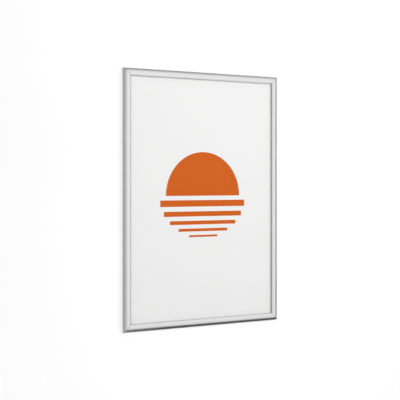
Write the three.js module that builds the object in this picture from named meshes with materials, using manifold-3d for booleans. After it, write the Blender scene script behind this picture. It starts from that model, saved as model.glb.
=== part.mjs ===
// A wall poster frame for an A1 sheet. Four mitred sides hold a back panel, the
// poster and a clear cover. Each side is a fixed base profile with a domed front
// profile hinged on its outer edge, and struts of spring steel that pass over
// centre hold each front profile shut or open.
//
// Every side is drawn in its own section: "inward" runs from the outer edge of the
// frame to its opening, and "out" runs from the wall to the front. In the model X
// is the width, Z is up, the wall is the plane Y = 0 and the front faces -Y. The
// origin is the middle of the frame on the wall.
import * as THREE from 'three';
import { mergeVertices } from 'three/addons/utils/BufferGeometryUtils.js';
import Module from 'manifold-3d';

const wasm = await Module();
wasm.setup();

// The sheet that the frame is made for, and the section of its sides, in millimetres
const posterWidth = 594;
const posterHeight = 841;
const frameDepth = 12;
const profileWidth = 25;
const mitreGap = 0.3;
const edgeRadius = 0.3;

// Front profile: a dome that falls to the outer edge and, more steeply, to the lip
const lidWall = 1.2;
const crestWidth = 5;
const innerFallWidth = 7;
const innerFallHeight = 2.4;

// Hinge: a bead on the base profile turns in a socket of the front profile
const beadRadius = 0.75;
const beadClearance = 0.25;
const socketWall = 0.75;
const hingeOut = 4.8;
const neckWidth = 0.8;
const neckClearance = 0.15;
const hingeWallClearance = 0.25;
const openingAngle = 90;
const socketEndClearance = 1.8;
const tipRelief = 1.6;

// Base profile
const webWall = 1.2;
const webInset = 6;
const outerWall = 1.2;
const shelfShare = 0.55;
const ribInward = 11.2;
const ribWall = 1.6;
const ribTopWall = 0.5;
const panelLipReach = 1.2;
const panelLipWall = 1;

// Spring struts: the foot turns in a groove of the rib, the tip pushes in a seat
// beside the socket
const springWall = 0.5;
const springLength = 30;
const springTipClearance = 0.07;
const springBow = 0.9;
const springFootDrop = 0.6;
const springGrooveRadius = 0.6;
const springSeatRadius = 2.1;
const springSeatAngle = -35;
const seatBossRadius = 0.85;
const seatBossInset = 0.5;
const longSideSpringShares = [1 / 6, 1 / 2, 5 / 6];
const shortSideSpringShares = [1 / 4, 3 / 4];

// Corner brackets
const bracketWall = 1.5;
const bracketSeatClearance = 0.7;
const bracketRibClearance = 0.5;
const bracketLeg = 48;
const bracketCornerRadius = 2;
const stakeHoleRadius = 1.2;
const stakeHoleShares = [0.5, 0.82];

// Holes through the long base profiles for screws into the wall
const fixingHoleRadius = 2.25;
const fixingHoleInset = 92;

// Sheets, and how far their edges lie from the base profiles
const posterWall = 0.25;
const coverWall = 0.5;
const panelWall = 1.5;
const panelEdgeClearance = 0.5;
const sideSheetClearance = 1.5;
const endSheetClearance = 0.5;
const seatClearance = 0.2;
const sheetClearance = 0.1;

// Fineness of curves, and how far a cut runs past what it cuts
const curveSteps = 16;
const smallCurveSteps = 6;
const cutOverrun = 2;

// Sizes that follow from the ones above
const socketInnerRadius = beadRadius + beadClearance;
const socketRadius = socketInnerRadius + socketWall;
const hingeInward = socketRadius;
const wallTop = hingeOut - socketRadius - hingeWallClearance;
const outerFallWidth = profileWidth - crestWidth - innerFallWidth;
const webWidth = profileWidth - webInset;
const springFootOut = hingeOut - springFootDrop;
const ribHeight = springFootOut + springGrooveRadius + ribTopWall;
const springReach = Math.hypot(ribInward - hingeInward, springFootDrop)
  - springSeatRadius - springTipClearance;
const seatReach = springSeatRadius - seatBossInset + seatBossRadius;
const socketEndRelief = hingeInward + seatReach + socketEndClearance;
const bracketInward = hingeInward + seatReach + bracketSeatClearance;
const fixingHoleInward = (bracketInward + ribInward) / 2;
const panelBack = webWall + seatClearance;
const panelFront = panelBack + panelWall;
const posterBack = panelFront + sheetClearance;
const coverBack = posterBack + posterWall + sheetClearance;
const coverFront = coverBack + coverWall;
const lipOut = coverFront + seatClearance;
const ribInnerFace = ribInward + ribWall;
const panelEdge = ribInnerFace + panelEdgeClearance;
const panelLipOut = panelFront + seatClearance;
const panelLipEdge = ribInnerFace + panelLipReach;
const frameWidth = posterWidth + 2 * (panelLipEdge + sideSheetClearance);
const frameHeight = posterHeight + 2 * (panelLipEdge + endSheetClearance);

const mouthHalfAngle = THREE.MathUtils.radToDeg(
  Math.asin((neckWidth / 2 + neckClearance) / socketInnerRadius),
);
const mouthStart = -90 - openingAngle - mouthHalfAngle;
const mouthEnd = -90 + mouthHalfAngle;

// Materials
const anodised = { color: 0xc6c9cb, roughness: 0.36, metalness: 0.9 };
const zincPlated = { color: 0xa9adb0, roughness: 0.42, metalness: 0.9 };
const springSteel = { color: 0x5d6166, roughness: 0.38, metalness: 0.95 };
const whiteStyrene = { color: 0xe4e4e1, roughness: 0.62, metalness: 0 };
const posterPaper = { color: 0xf1f1ef, roughness: 0.75, metalness: 0 };
const clearFilm = { color: 0xf6f8f8, roughness: 0.3, metalness: 0, transparent: true, opacity: 0.25 };

// A section's first axis runs inward (Z of a side) and its second runs out (-Y)
const sectionToSide = new THREE.Matrix4().makeBasis(
  new THREE.Vector3(0, 0, 1),
  new THREE.Vector3(0, -1, 0),
  new THREE.Vector3(1, 0, 0),
);

const turn = (degrees) => THREE.MathUtils.degToRad(degrees);

function pointAround(inward, out, radius, degrees) {
  const angle = turn(degrees);
  return [inward + radius * Math.cos(angle), out + radius * Math.sin(angle)];
}

function bar(section, length, steps = curveSteps) {
  const geometry = new THREE.ExtrudeGeometry(section, {
    depth: length,
    bevelEnabled: false,
    curveSegments: steps,
  });
  geometry.translate(0, 0, -length / 2);
  geometry.applyMatrix4(sectionToSide);
  return geometry;
}

// A bar whose ends slope back by as much as each point lies inward
function mitredBar(section, length) {
  const geometry = bar(section, length);
  const position = geometry.attributes.position;
  for (let i = 0; i < position.count; i += 1) {
    const end = Math.sign(position.getX(i));
    position.setX(i, end * (length / 2 - mitreGap - position.getZ(i)));
  }
  return geometry;
}

function solid(geometry) {
  const bare = geometry.clone();
  bare.deleteAttribute('normal');
  bare.deleteAttribute('uv');
  const merged = mergeVertices(bare);
  return new wasm.Manifold(new wasm.Mesh({
    numProp: 3,
    vertProperties: Float32Array.from(merged.attributes.position.array),
    triVerts: Uint32Array.from(merged.index.array),
  }));
}

function geometryOf(manifold) {
  const mesh = manifold.getMesh();
  const geometry = new THREE.BufferGeometry();
  geometry.setAttribute('position', new THREE.BufferAttribute(mesh.vertProperties, 3));
  geometry.setIndex(new THREE.BufferAttribute(mesh.triVerts, 1));
  geometry.computeVertexNormals();
  return geometry;
}

function piece(name, geometry, finish) {
  const mesh = new THREE.Mesh(geometry, new THREE.MeshStandardMaterial(finish));
  mesh.name = name;
  return mesh;
}

function disc(centre, radius) {
  const shape = new THREE.Shape();
  shape.absarc(centre[0], centre[1], radius, 0, 2 * Math.PI, false);
  return shape;
}

// Runs the outline to a corner, round it and on towards the next point
function cornerTo(shape, corner, next, radius = edgeRadius) {
  const at = new THREE.Vector2(...corner);
  const before = shape.currentPoint.clone().sub(at).setLength(radius).add(at);
  const after = new THREE.Vector2(...next).sub(at).setLength(radius).add(at);
  shape.lineTo(before.x, before.y);
  shape.quadraticCurveTo(at.x, at.y, after.x, after.y);
}

// Wall of the domed front profile, from the hinge over the crest to the lip
function lidSection() {
  const outerFallHeight = frameDepth - hingeOut;
  const innerFallStart = profileWidth - innerFallWidth;
  const innerFallOut = frameDepth - innerFallHeight;
  const shape = new THREE.Shape();
  shape.moveTo(0, hingeOut);
  shape.absellipse(outerFallWidth, hingeOut, outerFallWidth, outerFallHeight,
    Math.PI, Math.PI / 2, true, 0);
  shape.absellipse(innerFallStart, innerFallOut, innerFallWidth, innerFallHeight,
    Math.PI / 2, 0, true, 0);
  cornerTo(shape, [profileWidth, lipOut], [profileWidth - lidWall, lipOut]);
  cornerTo(shape, [profileWidth - lidWall, lipOut], [profileWidth - lidWall, innerFallOut]);
  shape.absellipse(innerFallStart, innerFallOut, innerFallWidth - lidWall,
    innerFallHeight - lidWall, 0, Math.PI / 2, false, 0);
  shape.absellipse(outerFallWidth, hingeOut, outerFallWidth - lidWall,
    outerFallHeight - lidWall, Math.PI / 2, Math.PI, false, 0);
  return shape;
}

// The sector of the socket that stays open for the neck of the bead
function mouthSection() {
  const reach = socketRadius + seatBossRadius;
  const shape = new THREE.Shape();
  shape.absarc(hingeInward, hingeOut, reach, turn(mouthStart), turn(mouthEnd), false);
  shape.lineTo(hingeInward, hingeOut);
  return shape;
}

function seatPoint(radius) {
  return pointAround(hingeInward, hingeOut, radius, springSeatAngle);
}

function lidGeometry(length) {
  const socketLength = length - 2 * socketEndRelief;
  const cutLength = length + cutOverrun;
  const tipCut = new THREE.BoxGeometry(2 * tipRelief, 2 * (hingeOut + socketRadius), 2 * hingeInward);
  let lid = solid(mitredBar(lidSection(), length));
  lid = lid.add(solid(bar(disc([hingeInward, hingeOut], socketRadius), socketLength)));
  lid = lid.add(solid(bar(disc(seatPoint(springSeatRadius - seatBossInset), seatBossRadius), socketLength)));
  lid = lid.subtract(solid(bar(disc([hingeInward, hingeOut], socketInnerRadius), cutLength)));
  lid = lid.subtract(solid(bar(mouthSection(), cutLength)));
  lid = lid.subtract(solid(bar(disc(seatPoint(springSeatRadius), springGrooveRadius), cutLength)));
  for (const end of [-1, 1]) {
    lid = lid.subtract(solid(tipCut.clone().translate(end * length / 2, 0, 0)));
  }
  return geometryOf(lid);
}

function baseSection() {
  const neckLeft = hingeInward - neckWidth / 2;
  const neckRight = hingeInward + neckWidth / 2;
  const neckAngle = Math.asin(neckWidth / 2 / beadRadius);
  const shelfOut = wallTop - (wallTop - webWall) * shelfShare;
  const shape = new THREE.Shape();
  shape.moveTo(edgeRadius, 0);
  cornerTo(shape, [0, 0], [0, wallTop]);
  cornerTo(shape, [0, wallTop], [neckLeft, wallTop]);
  shape.lineTo(neckLeft, wallTop);
  shape.absarc(hingeInward, hingeOut, beadRadius, -Math.PI / 2 - neckAngle,
    -Math.PI / 2 + neckAngle, true);
  shape.lineTo(neckRight, shelfOut);
  shape.lineTo(outerWall, shelfOut);
  shape.lineTo(outerWall, webWall);
  shape.lineTo(ribInward, webWall);
  shape.absarc(ribInward, springFootOut, springGrooveRadius, -Math.PI / 2, Math.PI / 2, false);
  shape.lineTo(ribInward, ribHeight);
  cornerTo(shape, [ribInnerFace, ribHeight], [ribInnerFace, panelLipOut]);
  shape.lineTo(ribInnerFace, panelLipOut + panelLipWall);
  cornerTo(shape, [panelLipEdge, panelLipOut + panelLipWall], [panelLipEdge, panelLipOut]);
  shape.lineTo(panelLipEdge, panelLipOut);
  shape.lineTo(ribInnerFace, panelLipOut);
  shape.lineTo(ribInnerFace, webWall);
  cornerTo(shape, [webWidth, webWall], [webWidth, 0]);
  cornerTo(shape, [webWidth, 0], [0, 0]);
  return shape;
}

function baseGeometry(length, hasFixingHoles) {
  let base = solid(mitredBar(baseSection(), length));
  if (hasFixingHoles) {
    const hole = new THREE.CylinderGeometry(fixingHoleRadius, fixingHoleRadius,
      webWall + cutOverrun, 2 * curveSteps);
    for (const end of [-1, 1]) {
      const place = end * (length / 2 - fixingHoleInset);
      base = base.subtract(solid(hole.clone().translate(place, -webWall / 2, fixingHoleInward)));
    }
  }
  return geometryOf(base);
}

// A bowed strip with round ends, lying from its foot in the rib towards the seat
function springSection() {
  const seat = seatPoint(springSeatRadius);
  const lean = Math.atan2(seat[1] - springFootOut, seat[0] - ribInward);
  const half = springReach / 2;
  const bowRadius = (half * half + springBow * springBow) / (2 * springBow);
  const bowAngle = Math.asin(half / bowRadius);
  const halfWall = springWall / 2;
  const middle = [ribInward + half * Math.cos(lean), springFootOut + half * Math.sin(lean)];
  const rise = bowRadius - springBow;
  const centre = [middle[0] + rise * Math.sin(lean), middle[1] - rise * Math.cos(lean)];
  const facing = lean + Math.PI / 2;
  const foot = [ribInward, springFootOut];
  const tip = [
    ribInward + springReach * Math.cos(lean),
    springFootOut + springReach * Math.sin(lean),
  ];
  const tipSide = facing - bowAngle;
  const footSide = facing + bowAngle;
  const shape = new THREE.Shape();
  shape.absarc(centre[0], centre[1], bowRadius + halfWall, tipSide, footSide, false);
  shape.absarc(foot[0], foot[1], halfWall, footSide, footSide + Math.PI, false);
  shape.absarc(centre[0], centre[1], bowRadius - halfWall, footSide, tipSide, true);
  shape.absarc(tip[0], tip[1], halfWall, tipSide + Math.PI, tipSide + 2 * Math.PI, false);
  return shape;
}

function springGeometry() {
  return bar(springSection(), springLength, smallCurveSteps);
}

// One side of the frame, seen as the bottom one: its length runs along X
function side(name, length, springShares, hasFixingHoles) {
  const group = new THREE.Group();
  group.add(piece(`base_profile_${name}`, baseGeometry(length, hasFixingHoles), anodised));
  group.add(piece(`front_profile_${name}`, lidGeometry(length), anodised));
  springShares.forEach((share, index) => {
    const spring = piece(`spring_${name}_${index + 1}`, springGeometry(), springSteel);
    spring.position.x = length * (share - 1 / 2);
    group.add(spring);
  });
  return group;
}

// A flat L in the channel of two base profiles, seen at the lower left corner
function bracketGeometry() {
  const outer = ribInward - bracketRibClearance;
  const shape = new THREE.Shape();
  shape.moveTo(bracketInward + bracketCornerRadius, bracketInward);
  shape.lineTo(bracketLeg, bracketInward);
  shape.lineTo(bracketLeg, outer);
  shape.lineTo(outer, outer);
  shape.lineTo(outer, bracketLeg);
  shape.lineTo(bracketInward, bracketLeg);
  shape.lineTo(bracketInward, bracketInward + bracketCornerRadius);
  shape.absarc(bracketInward + bracketCornerRadius, bracketInward + bracketCornerRadius,
    bracketCornerRadius, Math.PI, 1.5 * Math.PI, false);
  const middle = (bracketInward + outer) / 2;
  for (const share of stakeHoleShares) {
    shape.holes.push(disc([bracketLeg * share, middle], stakeHoleRadius));
    shape.holes.push(disc([middle, bracketLeg * share], stakeHoleRadius));
  }
  const geometry = new THREE.ExtrudeGeometry(shape, {
    depth: bracketWall,
    bevelEnabled: false,
    curveSegments: smallCurveSteps,
  });
  geometry.rotateX(Math.PI / 2);
  geometry.translate(0, -webWall - seatClearance, 0);
  return geometry;
}

function sheet(name, width, height, back, wall, finish) {
  const mesh = piece(name, new THREE.BoxGeometry(width, wall, height), finish);
  mesh.position.y = -(back + wall / 2);
  return mesh;
}

const posterFrame = new THREE.Group();

const sides = [
  { name: 'bottom', length: frameWidth, reach: frameHeight / 2, quarterTurns: 0 },
  { name: 'left', length: frameHeight, reach: frameWidth / 2, quarterTurns: 1 },
  { name: 'top', length: frameWidth, reach: frameHeight / 2, quarterTurns: 2 },
  { name: 'right', length: frameHeight, reach: frameWidth / 2, quarterTurns: 3 },
];
for (const { name, length, reach, quarterTurns } of sides) {
  const upright = quarterTurns % 2 === 1;
  const springShares = upright ? longSideSpringShares : shortSideSpringShares;
  const group = side(name, length, springShares, upright);
  group.rotation.y = quarterTurns * Math.PI / 2;
  group.position.set(0, 0, -reach).applyEuler(group.rotation);
  posterFrame.add(group);
}

const corners = ['bottom_left', 'top_left', 'top_right', 'bottom_right'];
corners.forEach((name, quarterTurns) => {
  const bracket = piece(`corner_bracket_${name}`, bracketGeometry(), zincPlated);
  const isLeft = name.endsWith('left');
  const isBottom = name.startsWith('bottom');
  bracket.rotation.y = quarterTurns * Math.PI / 2;
  bracket.position.x = (isLeft ? -1 : 1) * frameWidth / 2;
  bracket.position.z = (isBottom ? -1 : 1) * frameHeight / 2;
  posterFrame.add(bracket);
});

posterFrame.add(sheet('back_panel', frameWidth - 2 * panelEdge, frameHeight - 2 * panelEdge,
  panelBack, panelWall, whiteStyrene));
posterFrame.add(sheet('poster_sheet', posterWidth, posterHeight, posterBack, posterWall, posterPaper));
posterFrame.add(sheet('cover_sheet', posterWidth, posterHeight, coverBack, coverWall, clearFilm));

export default posterFrame;
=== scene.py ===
# %% [markdown]
# A slim wall poster frame, seen from its left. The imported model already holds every
# profile, hinge, strut and sheet at its real size, so this notebook dresses it: a finish
# for each material, the small stakes that hold the corners together, a wall to hang on
# and soft studio light.
#
# Everything is in metres. The origin is the middle of the frame on the wall, Z is up
# and the front faces -Y.

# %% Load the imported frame
import math

import bmesh
import bpy
from mathutils import Matrix, Vector


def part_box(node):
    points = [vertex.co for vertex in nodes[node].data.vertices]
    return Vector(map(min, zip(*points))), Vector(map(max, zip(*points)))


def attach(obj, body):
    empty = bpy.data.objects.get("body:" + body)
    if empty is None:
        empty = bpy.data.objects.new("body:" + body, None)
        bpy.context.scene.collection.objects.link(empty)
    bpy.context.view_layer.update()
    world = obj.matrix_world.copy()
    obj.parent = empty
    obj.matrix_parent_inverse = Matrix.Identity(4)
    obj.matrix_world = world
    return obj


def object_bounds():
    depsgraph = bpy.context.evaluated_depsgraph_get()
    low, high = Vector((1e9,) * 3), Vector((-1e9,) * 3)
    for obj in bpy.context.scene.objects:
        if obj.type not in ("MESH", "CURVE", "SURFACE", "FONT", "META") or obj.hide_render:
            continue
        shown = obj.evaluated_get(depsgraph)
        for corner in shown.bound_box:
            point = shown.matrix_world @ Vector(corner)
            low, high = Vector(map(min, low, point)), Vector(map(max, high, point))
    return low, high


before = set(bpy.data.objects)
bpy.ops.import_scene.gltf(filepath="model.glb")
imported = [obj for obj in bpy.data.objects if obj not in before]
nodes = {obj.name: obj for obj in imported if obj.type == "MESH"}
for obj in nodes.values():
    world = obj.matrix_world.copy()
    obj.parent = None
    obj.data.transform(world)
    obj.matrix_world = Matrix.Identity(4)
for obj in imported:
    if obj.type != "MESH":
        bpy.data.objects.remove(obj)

MM = 0.001
cad_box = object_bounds()
width = cad_box[1].x - cad_box[0].x
height = cad_box[1].z - cad_box[0].z
depth = cad_box[1].y - cad_box[0].y
print(f"frame {width / MM:.0f} x {height / MM:.0f} x {depth / MM:.0f} mm, {len(nodes)} nodes")

# %% [markdown]
# The camera comes first, because everything else is judged through it. The photograph
# looks at the frame from its left and a little above its middle, with upright edges
# kept upright: a camera held level, with the lens shifted down a little so that the
# frame sits in the middle of the picture. The place was found by fitting the corners
# of a 625 by 870 mm frame to the photograph.

# %% Camera
PHOTO_SIDE = 400
CAMERA_PLACE = Vector((-1.978, -3.0566, 0.0629))
CAMERA_TURN = math.radians(32.758)
FOCAL_LENGTH_PX = 1057.2
HORIZON_PX = 180.9
NEAREST_SEEN = 0.05
FARTHEST_SEEN = 60

camera_data = bpy.data.cameras.new("camera")
camera = bpy.data.objects.new("camera", camera_data)
bpy.context.scene.collection.objects.link(camera)
bpy.context.scene.camera = camera
camera.location = CAMERA_PLACE
camera.rotation_euler = (math.radians(90), 0, -CAMERA_TURN)
camera_data.lens = camera_data.sensor_width * FOCAL_LENGTH_PX / PHOTO_SIDE
camera_data.shift_y = (HORIZON_PX - PHOTO_SIDE / 2) / PHOTO_SIDE
camera_data.clip_start = NEAREST_SEEN
camera_data.clip_end = FARTHEST_SEEN
print(f"lens {camera_data.lens:.1f} mm, shift {camera_data.shift_y:.3f}")

# %% [markdown]
# Node trees are easier to read when each node is made, set and wired in one line. The
# first helper does that: a value that comes from another node is passed as its socket,
# and a plain value is written straight on the new node's own input. The others are the
# few steps that every finish here is built from.

# %% A short way to add shader nodes
def add(tree, kind, inputs=None, **settings):
    """A new node with its settings made and its inputs set or wired."""
    node = tree.nodes.new(kind)
    for name, value in settings.items():
        setattr(node, name, value)
    for name, value in (inputs or {}).items():
        if isinstance(value, bpy.types.NodeSocket):
            tree.links.new(value, node.inputs[name])
        else:
            node.inputs[name].default_value = value
    return node


def math_node(tree, operation, first, second=0.0, clamp=False):
    """The result of one sum."""
    node = add(tree, "ShaderNodeMath", {0: first, 1: second}, operation=operation)
    node.use_clamp = clamp
    return node.outputs[0]


def new_material(name):
    """An empty material and its node tree."""
    material = bpy.data.materials.new(name)
    material.use_nodes = True
    material.node_tree.nodes.clear()
    return material, material.node_tree


def finish_material(tree, shader):
    """Wire a shader to the surface."""
    add(tree, "ShaderNodeOutputMaterial", {"Surface": shader})


def dress(names, material):
    """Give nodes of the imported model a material."""
    for name in names:
        slots = nodes[name].data.materials
        slots.clear()
        slots.append(material)
    print(f"{material.name}: {len(names)} nodes")


print("node helpers ready")

# %% [markdown]
# Every pattern here is read in the object's own coordinates, so that it stays in the
# metal when a side swings open. Blender's noise lies around 0.5 and seldom leaves the
# span from 0.3 to 0.7, so one helper spreads that span over the values that a finish
# needs, such as its least and its greatest roughness.

# %% Patterns on a piece
NOISE_LOW = 0.3
NOISE_HIGH = 0.7


def place_on_object(tree, scale=(1, 1, 1)):
    """Where a point lies on the piece, stretched by a scale for each axis."""
    here = add(tree, "ShaderNodeTexCoord").outputs["Object"]
    return add(tree, "ShaderNodeMapping", {"Vector": here, "Scale": scale}).outputs[0]


def object_axes(tree):
    """The X, Y and Z of a point on the piece."""
    here = add(tree, "ShaderNodeTexCoord").outputs["Object"]
    return add(tree, "ShaderNodeSeparateXYZ", {"Vector": here}).outputs


def noise(tree, vector, scale=1.0, detail=2.0, roughness=0.5):
    """Soft noise at a point of the piece."""
    inputs = {"Vector": vector, "Scale": scale, "Detail": detail, "Roughness": roughness}
    return add(tree, "ShaderNodeTexNoise", inputs).outputs["Fac"]


def map_range(tree, value, start, end, low, high):
    """Low where the value is at its start, high where it is at its end."""
    inputs = {"Value": value, "From Min": start, "From Max": end, "To Min": low, "To Max": high}
    return add(tree, "ShaderNodeMapRange", inputs).outputs[0]


def spread(tree, value, low, high):
    """Noise as a value between two limits."""
    return map_range(tree, value, NOISE_LOW, NOISE_HIGH, low, high)


def two_tones(tree, value, first, second, start=0.0, end=1.0):
    """A colour that runs from one tone to another with a value."""
    ramp = add(tree, "ShaderNodeValToRGB", {"Fac": value})
    for element, position, color in zip(ramp.color_ramp.elements, (start, end), (first, second)):
        element.position = position
        element.color = color
    return ramp.outputs[0]


def toned(tree, color, tone):
    """A colour made lighter or darker by a value."""
    inputs = {0: color, "Scale": tone}
    return add(tree, "ShaderNodeVectorMath", inputs, operation="SCALE").outputs[0]


def bump(tree, relief, strength, rise, **more):
    """A surface that seems to rise by up to a given height."""
    inputs = {"Strength": strength, "Distance": rise, "Height": relief, **more}
    return add(tree, "ShaderNodeBump", inputs).outputs[0]


def metal(tree, color, roughness, normal):
    """The shader of a bare or anodised metal."""
    inputs = {"Base Color": color, "Metallic": 1.0, "Roughness": roughness, "Normal": normal}
    return add(tree, "ShaderNodeBsdfPrincipled", inputs).outputs[0]


print("pattern helpers ready")

# %% [markdown]
# Three places on a profile look different from the rest. The corners were sawn after the
# bar was anodised, so their faces are bare metal. A thin darker line is painted along each
# joint, as painted shade standing in for the shadow in the joint's gap. And the face of the
# lip that stands on the cover gets painted shade, which makes it greyer.
#
# A mask for each could be painted, but the section is the same all along, so plain
# distances find them. The sawn faces are found by the way they face on the piece itself,
# open or shut, because only they lie at 45 degrees. The joint is where a point is as far
# from the upright edge as from the level one. The lip's face is where the profile ends.

# %% Where a profile is sawn or painted with shade
SAWN_FACING = 0.49
JOINT_REACH = 1.0 * MM
LIP_RIM = 0.1 * MM
profile_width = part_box("front_profile_left")[1].x - cad_box[0].x
print(f"profile {profile_width / MM:.0f} mm wide")


def sawn_mask(tree):
    """1 on a sawn face, whose normal has two equal parts with a product of a half."""
    normal = add(tree, "ShaderNodeNewGeometry").outputs["True Normal"]
    own = add(tree, "ShaderNodeVectorTransform", {"Vector": normal}, vector_type="NORMAL",
              convert_from="WORLD", convert_to="OBJECT").outputs[0]
    parts = add(tree, "ShaderNodeSeparateXYZ", {"Vector": own}).outputs
    both = math_node(tree, "MULTIPLY", parts["X"], parts["Z"])
    size = math_node(tree, "ABSOLUTE", both)
    return math_node(tree, "GREATER_THAN", size, SAWN_FACING)


def edge_distances(tree):
    """How far a point lies in from the outer edge of an upright and of a level side."""
    axes = object_axes(tree)
    side = math_node(tree, "SUBTRACT", width / 2, math_node(tree, "ABSOLUTE", axes["X"]))
    end = math_node(tree, "SUBTRACT", height / 2, math_node(tree, "ABSOLUTE", axes["Z"]))
    return {"upright": side, "level": end}


def joint_line(tree, distances):
    """1 on the line of each sawn corner, falling to 0 beside it."""
    off = math_node(tree, "SUBTRACT", distances["upright"], distances["level"])
    share = math_node(tree, "DIVIDE", math_node(tree, "ABSOLUTE", off), JOINT_REACH)
    return math_node(tree, "SUBTRACT", 1.0, share, clamp=True)


def lip_face(tree, distance):
    """1 on the face that ends the profile inwards, 0 elsewhere."""
    return map_range(tree, distance, profile_width - LIP_RIM, profile_width - LIP_RIM / 2, 0.0, 1.0)


def kept_under_painted_shade(tree, mask, painted_shade):
    """The share of its brightness that the metal keeps under painted shade."""
    return math_node(tree, "SUBTRACT", 1.0, math_node(tree, "MULTIPLY", mask, painted_shade))


# %% [markdown]
# Anodised aluminium looks soft and even from a distance. Close up it has three things
# that plain grey metal lacks. The die that the bar was pushed through leaves fine
# straight lines along it. The etch before anodising leaves a faint cloudiness in how
# sharply it shines. And the sawn faces show brighter bare metal with the marks of the
# blade.
#
# The die lines are noise that is squeezed hard across the bar and drawn out along it, so
# the upright and the level sides each need a metal of their own. The lips of the upright
# sides get the more painted shade.

# %% Anodised aluminium profiles
ALONG = {"upright": (0, 0, 1), "level": (1, 0, 0)}
DIE_LINES_ALONG = 9.0
DIE_LINES_ACROSS = 2600.0
CLOUD_SCALE = 34.0
GRAIN_SCALE = 5200.0
SAW_MARK_SCALE = (300, 6500, 300)

ANODISED = (0.857, 0.858, 0.86)
BARE = (0.9, 0.905, 0.91, 1)
CLOUD_TONE = (0.965, 1.02)
LINE_TONE = (0.985, 1.015)
CLOUD_SHEEN = (-0.03, 0.04)
LINE_SHEEN = (0.31, 0.36)
SAWN_SHEEN = (0.3, 0.5)
# Painted shade: how much darker the line along each joint is drawn, for the shadow in its gap
JOINT_PAINTED_SHADE = 0.75
# Painted shade: how much darker the lip's face is drawn on each kind of side
LIP_PAINTED_SHADE = {"upright": 0.55, "level": 0.1}

LINE_SHARE = 0.7
GRAIN_SHARE = 0.3
EDGE_ROUNDING = 0.12 * MM


def die_line_scale(lie):
    """Drawn out along the bar, squeezed across it."""
    return tuple(DIE_LINES_ALONG if share else DIE_LINES_ACROSS for share in ALONG[lie])


def anodised(lie):
    material, tree = new_material(f"anodised_{lie}")
    lines = noise(tree, place_on_object(tree, die_line_scale(lie)), detail=3.0, roughness=0.6)
    clouds = noise(tree, place_on_object(tree), CLOUD_SCALE, detail=4.0, roughness=0.55)
    grain = noise(tree, place_on_object(tree), GRAIN_SCALE)
    sawn = sawn_mask(tree)
    saw_marks = noise(tree, place_on_object(tree, SAW_MARK_SCALE), roughness=0.6)

    tone = math_node(tree, "MULTIPLY", spread(tree, clouds, *CLOUD_TONE),
                     spread(tree, lines, *LINE_TONE))
    # Painted shade darkens each joint line and the face of each lip
    distances = edge_distances(tree)
    for kept in (kept_under_painted_shade(tree, joint_line(tree, distances), JOINT_PAINTED_SHADE),
                 kept_under_painted_shade(tree, lip_face(tree, distances[lie]), LIP_PAINTED_SHADE[lie])):
        tone = math_node(tree, "MULTIPLY", tone, kept)
    color = add(tree, "ShaderNodeMix", {"Factor": sawn, "A": toned(tree, ANODISED, tone),
                                        "B": BARE}, data_type="RGBA")

    sheen = math_node(tree, "ADD", spread(tree, clouds, *CLOUD_SHEEN),
                      spread(tree, lines, *LINE_SHEEN))
    cut_sheen = spread(tree, saw_marks, *SAWN_SHEEN)
    rough = add(tree, "ShaderNodeMix", {"Factor": sawn, "A": sheen, "B": cut_sheen})

    drawn = math_node(tree, "ADD", math_node(tree, "MULTIPLY", lines, LINE_SHARE),
                      math_node(tree, "MULTIPLY", grain, GRAIN_SHARE))
    relief = add(tree, "ShaderNodeMix", {"Factor": sawn, "A": drawn, "B": saw_marks})
    rounded = add(tree, "ShaderNodeBevel", {"Radius": EDGE_ROUNDING}, samples=4).outputs[0]
    normal = bump(tree, relief.outputs[0], strength=0.25, rise=0.02 * MM, Normal=rounded)
    finish_material(tree, metal(tree, color.outputs["Result"], rough.outputs[0], normal))
    return material


upright_metal = anodised("upright")
level_metal = anodised("level")
for kind in ("base_profile", "front_profile"):
    dress([f"{kind}_left", f"{kind}_right"], upright_metal)
    dress([f"{kind}_top", f"{kind}_bottom"], level_metal)

# %% [markdown]
# The corner brackets are stamped from zinc-plated sheet. Zinc grows in crystals, which
# show as patches that shine a little differently from their neighbours. Noise would blur
# them into clouds, so a Voronoi pattern gives each patch its own value, and that value
# moves both the tone and the sheen.

# %% Zinc-plated brackets
CRYSTAL_SCALE = 420.0
CRYSTAL_SHEEN = (0.3, 0.42)
SCUFF_SCALE = (900, 900, 900)
SCUFF_SHEEN = (0.0, 0.08)
ZINC_DARK = (0.54, 0.56, 0.57, 1)
ZINC_LIGHT = (0.68, 0.69, 0.69, 1)


def zinc_plated():
    material, tree = new_material("zinc_plated_steel")
    inputs = {"Vector": place_on_object(tree), "Scale": CRYSTAL_SCALE}
    crystals = add(tree, "ShaderNodeTexVoronoi", inputs).outputs["Color"]
    patch = add(tree, "ShaderNodeSeparateColor", {"Color": crystals}).outputs[0]
    scuffs = noise(tree, place_on_object(tree, SCUFF_SCALE), detail=3.0)
    color = two_tones(tree, patch, ZINC_DARK, ZINC_LIGHT)
    rough = math_node(tree, "ADD", spread(tree, patch, *CRYSTAL_SHEEN),
                      spread(tree, scuffs, *SCUFF_SHEEN))
    normal = bump(tree, scuffs, strength=0.2, rise=0.02 * MM)
    finish_material(tree, metal(tree, color, rough, normal))
    return material


dress(sorted(name for name in nodes if name.startswith("corner_bracket")), zinc_plated())

# %% [markdown]
# The struts are tempered spring steel, which the heat leaves darker, with a faint straw
# and blue cast. Soft noise moves the colour between the two. The strip was rolled before
# it was cut, so a second noise, squeezed across the strip, gives it fine rolling lines.

# %% Spring steel struts
TEMPER_SCALE = 55.0
TEMPER_BLUE = (0.30, 0.31, 0.335, 1)
TEMPER_STRAW = (0.395, 0.38, 0.36, 1)
ROLLING_SCALE = (2400, 60, 60)
ROLLED_SHEEN = (0.26, 0.4)


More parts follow.
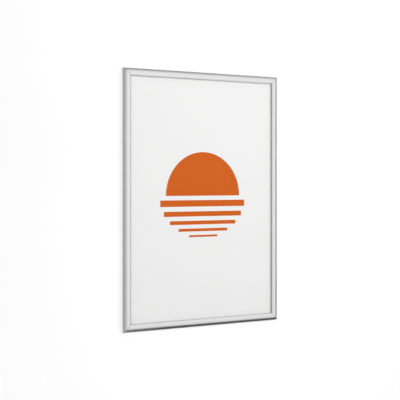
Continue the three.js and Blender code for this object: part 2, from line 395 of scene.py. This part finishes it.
def spring_steel():
    material, tree = new_material("spring_steel")
    tempering = noise(tree, place_on_object(tree), TEMPER_SCALE, detail=4.0, roughness=0.6)
    color = two_tones(tree, tempering, TEMPER_BLUE, TEMPER_STRAW, NOISE_LOW, NOISE_HIGH)
    rolling = noise(tree, place_on_object(tree, ROLLING_SCALE))
    normal = bump(tree, rolling, strength=0.2, rise=0.01 * MM)
    finish_material(tree, metal(tree, color, spread(tree, rolling, *ROLLED_SHEEN), normal))
    return material


dress(sorted(name for name in nodes if name.startswith("spring")), spring_steel())

# %% [markdown]
# Each bracket is locked in its channel by four stakes: studs of the aluminium that a
# punch spreads over the edge of the bracket's hole, which leaves a low rounded head
# with a dimple in it. A stud is round, so half of its outline, drawn once from the
# middle of the dimple to the middle of its foot, is spun about its axis. A cylinder with
# a bevelled rim would have been quicker, but it has no dimple and no neck in the hole.

# %% One stud
# Radius and height above the wall, in millimetres
STUD_OUTLINE = ((0, 2.96), (0.4, 2.98), (0.62, 3.12), (0.78, 3.3), (1.02, 3.37), (1.3, 3.36),
                (1.56, 3.27), (1.75, 3.12), (1.8, 2.97), (1.74, 2.89), (1.12, 2.89),
                (1.12, 1.2), (0, 1.2))
STUD_TURNS = 24
SAME_POINT = 0.002 * MM


def stud():
    """One stud, standing up along Z."""
    shape = bmesh.new()
    points = [shape.verts.new((radius * MM, 0, out * MM)) for radius, out in STUD_OUTLINE]
    outline = [shape.edges.new(pair) for pair in zip(points, points[1:])]
    bmesh.ops.spin(shape, geom=points + outline, cent=(0, 0, 0), axis=(0, 0, 1),
                   angle=math.tau, steps=STUD_TURNS, use_merge=True)
    bmesh.ops.remove_doubles(shape, verts=shape.verts, dist=SAME_POINT)
    bmesh.ops.recalc_face_normals(shape, faces=shape.faces)
    mesh = bpy.data.meshes.new("stud")
    shape.to_mesh(mesh)
    shape.free()
    return mesh


one_stud = stud()
print(f"one stud: {len(one_stud.polygons)} faces")

# %% [markdown]
# The stud is set down four times on each bracket, two on each leg, over the holes that
# the bracket's solid has. They all lie in the middle of the channel, so a step along the
# side and the distance across it give each place. Punching leaves the metal bare and
# faintly pitted, so the studs get a finish of their own.

# %% Stakes in the brackets
# In millimetres from the outer edges of the frame
STAKE_STEPS = (24.0, 39.36)
CHANNEL_MIDDLE = 7.8
PIT_SCALE = 2600.0
PITTED_SHEEN = (0.3, 0.46)
PUNCHED = (0.88, 0.885, 0.89, 1)


def punched_aluminium():
    material, tree = new_material("punched_aluminium")
    pits = noise(tree, place_on_object(tree), PIT_SCALE, detail=3.0, roughness=0.6)
    normal = bump(tree, pits, strength=0.35, rise=0.03 * MM)
    finish_material(tree, metal(tree, PUNCHED, spread(tree, pits, *PITTED_SHEEN), normal))
    return material


def stakes(corner, side, end):
    """The four studs of one bracket as one piece."""
    shape = bmesh.new()
    for step in STAKE_STEPS:
        for along, across in ((step, CHANNEL_MIDDLE), (CHANNEL_MIDDLE, step)):
            spot = Vector((side * (width / 2 - along * MM), 0, end * (height / 2 - across * MM)))
            copy = one_stud.copy()
            copy.transform(Matrix.Translation(spot) @ Matrix.Rotation(math.radians(90), 4, "X"))
            shape.from_mesh(copy)
            bpy.data.meshes.remove(copy)
    mesh = bpy.data.meshes.new(f"stakes_{corner}")
    shape.to_mesh(mesh)
    shape.free()
    mesh.shade_smooth()
    piece = bpy.data.objects.new(mesh.name, mesh)
    bpy.context.scene.collection.objects.link(piece)
    return piece


stake_metal = punched_aluminium()
for end_name, end in (("bottom", -1), ("top", 1)):
    for side_name, side in (("left", -1), ("right", 1)):
        piece = stakes(f"{end_name}_{side_name}", side, end)
        piece.data.materials.append(stake_metal)
        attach(piece, "root")
        print(f"{piece.name}: {len(piece.data.polygons)} faces")
bpy.data.meshes.remove(one_stud)

# %% [markdown]
# The back panel is a sheet of white polystyrene. It is nearly matt, with the very
# shallow orange-peel of a cast sheet and a few long, soft roller marks. One noise gives
# the peel, and another, drawn out along the height, gives the marks.

# %% Back panel
PEEL_SCALE = 900.0
ROLLER_SCALE = (14, 14, 0.9)
ROLLER_SHEEN = (0.5, 0.6)
STYRENE_DARK = (0.80, 0.80, 0.785, 1)
STYRENE_LIGHT = (0.84, 0.84, 0.83, 1)


def styrene():
    material, tree = new_material("white_styrene")
    peel = noise(tree, place_on_object(tree), PEEL_SCALE)
    roller = noise(tree, place_on_object(tree, ROLLER_SCALE))
    shader = add(tree, "ShaderNodeBsdfPrincipled", {
        "Base Color": two_tones(tree, roller, STYRENE_DARK, STYRENE_LIGHT, NOISE_LOW, NOISE_HIGH),
        "Roughness": spread(tree, roller, *ROLLER_SHEEN),
        "Normal": bump(tree, peel, strength=0.3, rise=0.03 * MM)})
    finish_material(tree, shader.outputs[0])
    return material


dress(["back_panel"], styrene())

# %% [markdown]
# The sheet in the frame is coated white paper with a plain printed shape in orange: a
# half disc over bars that get thinner and shorter, centred on the sheet. An image would
# go soft close up, so the shape is worked out from distances on the sheet, which stays
# sharp at any size. First comes its mask: 1 in the ink, 0 on the bare paper.

# %% The printed shape
DISC_RADIUS = 150 * MM
DISC_BASE = 12 * MM
# Middle, half height and half width of each bar, in millimetres
BARS = ((-14, 11, 172), (-50, 8.5, 158), (-80, 6.5, 134), (-105, 5, 100), (-126, 3.5, 58))


def print_mask(tree):
    """1 in the ink, 0 on the paper."""
    axes = object_axes(tree)
    across, up = axes["X"], axes["Z"]
    above = math_node(tree, "GREATER_THAN", up, DISC_BASE)
    risen = math_node(tree, "SUBTRACT", up, DISC_BASE)
    square = math_node(tree, "ADD", math_node(tree, "MULTIPLY", across, across),
                       math_node(tree, "MULTIPLY", risen, risen))
    inside = math_node(tree, "LESS_THAN", square, DISC_RADIUS ** 2)
    mask = math_node(tree, "MULTIPLY", above, inside)
    beside = math_node(tree, "ABSOLUTE", across)
    for middle, half_height, half_width in BARS:
        off = math_node(tree, "ABSOLUTE", math_node(tree, "SUBTRACT", up, middle * MM))
        bar = math_node(tree, "MULTIPLY",
                        math_node(tree, "LESS_THAN", off, half_height * MM),
                        math_node(tree, "LESS_THAN", beside, half_width * MM))
        mask = math_node(tree, "MAXIMUM", mask, bar)
    return mask


print(f"printed shape: a half disc over {len(BARS)} bars")

# %% [markdown]
# Paper and ink share one surface, so one material holds both and the mask picks the
# colour. Ink is not perfectly even, and paper has fibres and a slight cockle, so a little
# noise moves the tone of each and the surface itself.

# %% Printed sheet
PAPER = (0.852, 0.85, 0.846)
PAPER_TONE = (0.99, 1.01)
INK = (0.62, 0.112, 0.004)
INK_TONE = (0.96, 1.04)
FIBRE_SCALE = 1500.0
FIBRE_SHARE = 0.02
COCKLE_SCALE = 3.0
MOTTLE_SCALE = 260.0
PAPER_SHEEN = (0.52, 0.6)


def printed_paper():
    material, tree = new_material("poster_paper")
    fibres = noise(tree, place_on_object(tree), FIBRE_SCALE, detail=3.0, roughness=0.6)
    cockle = noise(tree, place_on_object(tree), COCKLE_SCALE)
    mottle = noise(tree, place_on_object(tree), MOTTLE_SCALE, detail=3.0)
    paper = toned(tree, PAPER, spread(tree, fibres, *PAPER_TONE))
    ink = toned(tree, INK, spread(tree, mottle, *INK_TONE))
    color = add(tree, "ShaderNodeMix", {"Factor": print_mask(tree), "A": paper, "B": ink},
                data_type="RGBA")
    relief = math_node(tree, "ADD", math_node(tree, "MULTIPLY", fibres, FIBRE_SHARE), cockle)
    shader = add(tree, "ShaderNodeBsdfPrincipled", {
        "Base Color": color.outputs["Result"],
        "Roughness": spread(tree, fibres, *PAPER_SHEEN),
        "Specular IOR Level": 0.15,
        "Normal": bump(tree, relief, strength=0.2, rise=0.3 * MM)})
    finish_material(tree, shader.outputs[0])
    return material


dress(["poster_sheet"], printed_paper())

# %% [markdown]
# The cover is a clear film with a matt face that keeps reflections soft. Clear sheet
# seen flat on hardly bends light, so instead of glass this uses a see-through shader
# with a soft reflection mixed in by the Fresnel law. Light then passes straight to the
# paper, as it does through a real film, and the render stays clean. Only the face that
# light enters by reflects, because two would double the shine, and the matt coat leaves
# a third of it.

# %% Clear cover
FILM_CLEAR = (0.996, 0.998, 0.997, 1)
FILM_IOR = 1.46
FILM_SHINE = 0.33
MATT_SCALE = 2400.0
MATT_SHARE = 0.01
MATT_SHEEN = (0.28, 0.34)
WAVE_SCALE = 5.0
WHITE = (1, 1, 1, 1)


def clear_film():
    material, tree = new_material("clear_film")
    texture = noise(tree, place_on_object(tree), MATT_SCALE)
    waves = noise(tree, place_on_object(tree), WAVE_SCALE, detail=1.0)
    relief = math_node(tree, "ADD", math_node(tree, "MULTIPLY", texture, MATT_SHARE), waves)
    normal = bump(tree, relief, strength=0.15, rise=0.4 * MM)
    fresnel = add(tree, "ShaderNodeFresnel", {"IOR": FILM_IOR, "Normal": normal}).outputs[0]
    leaving = add(tree, "ShaderNodeNewGeometry").outputs["Backfacing"]
    entering = math_node(tree, "SUBTRACT", 1.0, leaving)
    shine = math_node(tree, "MULTIPLY", math_node(tree, "MULTIPLY", fresnel, FILM_SHINE), entering)
    clear = add(tree, "ShaderNodeBsdfTransparent", {"Color": FILM_CLEAR}).outputs[0]
    gloss = add(tree, "ShaderNodeBsdfAnisotropic", {
        "Color": WHITE, "Roughness": spread(tree, texture, *MATT_SHEEN),
        "Normal": normal}).outputs[0]
    both = add(tree, "ShaderNodeMixShader", {"Fac": shine, 1: clear, 2: gloss})
    finish_material(tree, both.outputs[0])
    return material


dress(["cover_sheet"], clear_film())

# %% [markdown]
# The frame hangs on a white wall. The wall keeps the soft shadow that the frame throws
# to its left, so it is a real matt surface. A glow is added to its lower part, which lies
# further from the lamp, so that the wall reads as plain white everywhere outside the
# shadow. A pale floor lies well below.
#
# Both are there for the camera alone. All other light goes through them, so the metal
# shows the studio and not the wall. From behind they are clear for the camera too, so
# that the back of the frame can be looked at.

# %% Wall and floor
WALL_GAP = 0.3 * MM
WALL_SIZE = 8.0
WALL_SHADE = 0.87
WALL_GLOW = (0.1, 0.0)
FLOOR_DROP = 0.9
FLOOR_SHADE = 0.8
FLOOR_GLOW = (0.6, 0.6)
GLOW_HEIGHTS = (-0.9, 0.2)


def plain_square(name, size, place):
    """A square of the stage, which is no part of the frame."""
    shape = bmesh.new()
    bmesh.ops.create_grid(shape, x_segments=1, y_segments=1, size=size / 2, matrix=place)
    mesh = bpy.data.meshes.new(name)
    shape.to_mesh(mesh)
    shape.free()
    square = bpy.data.objects.new(name, mesh)
    bpy.context.scene.collection.objects.link(square)
    return square


def white_surface(name, shade, glow):
    """A matt white that glows, from one level to another upwards, and that light passes."""
    material, tree = new_material(name)
    sight = add(tree, "ShaderNodeLightPath").outputs["Is Camera Ray"]
    behind = add(tree, "ShaderNodeNewGeometry").outputs["Backfacing"]
    shown = math_node(tree, "MULTIPLY", sight, math_node(tree, "SUBTRACT", 1.0, behind))
    matt = add(tree, "ShaderNodeBsdfDiffuse", {"Color": (shade, shade, shade, 1)}).outputs[0]
    strength = map_range(tree, object_axes(tree)["Z"], *GLOW_HEIGHTS, *glow)
    light = add(tree, "ShaderNodeEmission", {"Color": WHITE, "Strength": strength}).outputs[0]
    white = add(tree, "ShaderNodeAddShader", {0: matt, 1: light}).outputs[0]
    clear = add(tree, "ShaderNodeBsdfTransparent").outputs[0]
    either = add(tree, "ShaderNodeMixShader", {"Fac": shown, 1: clear, 2: white})
    finish_material(tree, either.outputs[0])
    return material


wall_place = Matrix.Translation((0, WALL_GAP, 0)) @ Matrix.Rotation(math.radians(90), 4, "X")
wall = plain_square("wall", WALL_SIZE, wall_place)
wall.data.materials.append(white_surface("wall_white", WALL_SHADE, WALL_GLOW))
floor_place = Matrix.Translation((0, 0, cad_box[0].z - FLOOR_DROP))
floor = plain_square("floor", 2 * WALL_SIZE, floor_place)
floor.data.materials.append(white_surface("floor_pale", FLOOR_SHADE, FLOOR_GLOW))
print(f"wall {WALL_SIZE:.0f} m wide, floor {FLOOR_DROP} m below the frame")

# %% [markdown]
# Metal is only as good as what it reflects. A white room all round would make it look
# like paper. Photographers put a long white light bank in front of such a frame and
# leave the rest of the studio darker, so that the faces shine and the rounded edges
# fall off to grey. The world here does the same for reflections: bright in front and
# to the right at the height of the frame, darker to the left and behind, and darker
# still above and below. A dark flag at the far right gives the right edge its grey
# line, and the left side its dark inner one.

# %% What the metal reflects
BANK = Vector((0.85, -0.53, 0))
SIDE_FLAG = Vector((0.99, -0.05, -0.1))

# Each fade runs between two values of a direction, from one level to another
BANK_FADE = (0.2, 0.94, 0.5, 1.09)
RIGHT_FADE = (0.6, 0.95, 1.0, 0.6)
LOW_FADE = (-0.5, -0.02, 0.7, 1.0)
HIGH_FADE = (0.25, 0.95, 1.0, 0.35)
FLAG_FADE = (0.86, 0.97, 1.0, 0.06)

world = bpy.data.worlds.new("studio")
bpy.context.scene.world = world
world.use_nodes = True
sky = world.node_tree
sky.nodes.clear()
towards = add(sky, "ShaderNodeTexCoord").outputs["Generated"]
heading = add(sky, "ShaderNodeSeparateXYZ", {"Vector": towards}).outputs


def near(direction):
    """How closely a ray heads in a direction: 1 straight at it, 0 across it."""
    inputs = {0: towards, 1: direction}
    return add(sky, "ShaderNodeVectorMath", inputs, operation="DOT_PRODUCT").outputs["Value"]


reflected = map_range(sky, near(BANK), *BANK_FADE)
for direction, levels in ((heading["X"], RIGHT_FADE), (heading["Z"], LOW_FADE),
                          (heading["Z"], HIGH_FADE), (near(SIDE_FLAG), FLAG_FADE)):
    reflected = math_node(sky, "MULTIPLY", reflected, map_range(sky, direction, *levels))
print(f"reflections: {len(sky.nodes)} nodes in the world")

# %% [markdown]
# Only clean reflections see that studio. Matt surfaces get an even light from all round.
# That goes too for the light that reaches them by way of a shiny face, because the graded
# studio would leave bright specks there. What the camera sees straight on, or through
# something clear, is plain white.

# %% World light
ROOM_LIGHT = 0.56
PLAIN_WHITE = 1.0

paths = add(sky, "ShaderNodeLightPath").outputs
direct = math_node(sky, "MAXIMUM", paths["Is Camera Ray"], paths["Is Transmission Ray"])
scattered = math_node(sky, "GREATER_THAN", paths["Diffuse Depth"], 0.5)
mirrored = math_node(sky, "MULTIPLY", paths["Is Glossy Ray"],
                     math_node(sky, "SUBTRACT", 1.0, scattered))
soft = add(sky, "ShaderNodeMix", {"Factor": mirrored, "A": ROOM_LIGHT, "B": reflected}).outputs[0]
level = add(sky, "ShaderNodeMix", {"Factor": direct, "A": soft, "B": PLAIN_WHITE}).outputs[0]
ground = add(sky, "ShaderNodeBackground", {"Color": WHITE, "Strength": level})
add(sky, "ShaderNodeOutputWorld", {"Surface": ground.outputs[0]})
bpy.context.scene.view_settings.view_transform = "Standard"
print(f"room light {ROOM_LIGHT}, view {bpy.context.scene.view_settings.view_transform}")

# %% [markdown]
# The metal shows the world alone, so the lamps are hidden from reflections and only light
# what is matt. One large soft lamp stands in front of the upper half, so the sheet gets a
# little darker downwards and the lips throw no shadow on it. Another lights the back for
# those who look there. Both are discs of light.
#
# The shadow on the wall has a light of its own: a sun that rakes along the wall from the
# right. Light linking lets only the wall receive it, like a lamp that is shaded off the
# frame. The frame still stands in its way, so its shadow falls on the wall.

# %% Lamps
KEY_PLACE = Vector((0.35, -2.9, 0.8))
KEY_SIZE = 1.2
KEY_POWER = 47.0
BACK_PLACE = Vector((-2.6, 4.0, 1.9))
BACK_SIZE = 3.0
BACK_POWER = 130.0
RAKE_FROM = Vector((4.0, -2.2, 0.9))
RAKE_STRENGTH = 0.9
RAKE_SPREAD = math.radians(25)


def lamp_object(data, place):
    """A lamp that points at the middle of the frame and isn't seen itself."""
    lamp = bpy.data.objects.new(data.name, data)
    bpy.context.scene.collection.objects.link(lamp)
    lamp.location = place
    lamp.rotation_euler = (-place).to_track_quat("-Z", "Y").to_euler()
    lamp.visible_camera = False
    lamp.visible_glossy = False
    print(f"{lamp.name}: {data.type.lower()} light from {tuple(round(p, 1) for p in place)}")
    return lamp


def soft_lamp(name, place, size, power):
    """A disc of light."""
    data = bpy.data.lights.new(name, "AREA")
    data.shape = "DISK"
    data.size = size
    data.energy = power
    lamp_object(data, place)


def raking_light():
    """A low sun that lights the wall alone."""
    data = bpy.data.lights.new("wall_light", "SUN")
    data.energy = RAKE_STRENGTH
    data.angle = RAKE_SPREAD
    receivers = bpy.data.collections.new("wall_only")
    receivers.objects.link(wall)
    lamp_object(data, RAKE_FROM).light_linking.receiver_collection = receivers


soft_lamp("key_lamp", KEY_PLACE, KEY_SIZE, KEY_POWER)
soft_lamp("back_lamp", BACK_PLACE, BACK_SIZE, BACK_POWER)
raking_light()

# %% [markdown]
# The lower edge of the frame is the darkest thing in the photograph. A black card half a
# metre below it does that: the lower profile sees it at once, and the upper one hardly
# at all. The world could be made black downwards instead, but then both would see it
# alike. Only reflections see the card, and its rim fades out.

# %% Black card below the frame
CARD_MIDDLE = Vector((0.5, 0.02, cad_box[0].z - 0.5))
CARD_REACH = Vector((0.74, 1.03))
CARD_RIM = 0.3
CARD_BLACK = (0.04, 0.04, 0.04, 1)


def card_black():
    material, tree = new_material("card_black")
    axes = object_axes(tree)
    mask = add(tree, "ShaderNodeLightPath").outputs["Is Glossy Ray"]
    for axis, middle, reach in zip("XY", CARD_MIDDLE, CARD_REACH):
        off = math_node(tree, "ABSOLUTE", math_node(tree, "SUBTRACT", axes[axis], middle))
        inside = math_node(tree, "SUBTRACT", reach, off)
        inner = math_node(tree, "DIVIDE", inside, CARD_RIM, clamp=True)
        mask = math_node(tree, "MULTIPLY", mask, inner)
    clear = add(tree, "ShaderNodeBsdfTransparent").outputs[0]
    black = add(tree, "ShaderNodeBsdfDiffuse", {"Color": CARD_BLACK}).outputs[0]
    either = add(tree, "ShaderNodeMixShader", {"Fac": mask, 1: clear, 2: black})
    finish_material(tree, either.outputs[0])
    return material


card = plain_square("black_card", 2 * CARD_REACH.y, Matrix.Translation(CARD_MIDDLE))
card.data.materials.append(card_black())
print(f"card {2 * CARD_REACH.x:.2f} x {2 * CARD_REACH.y:.2f} m")
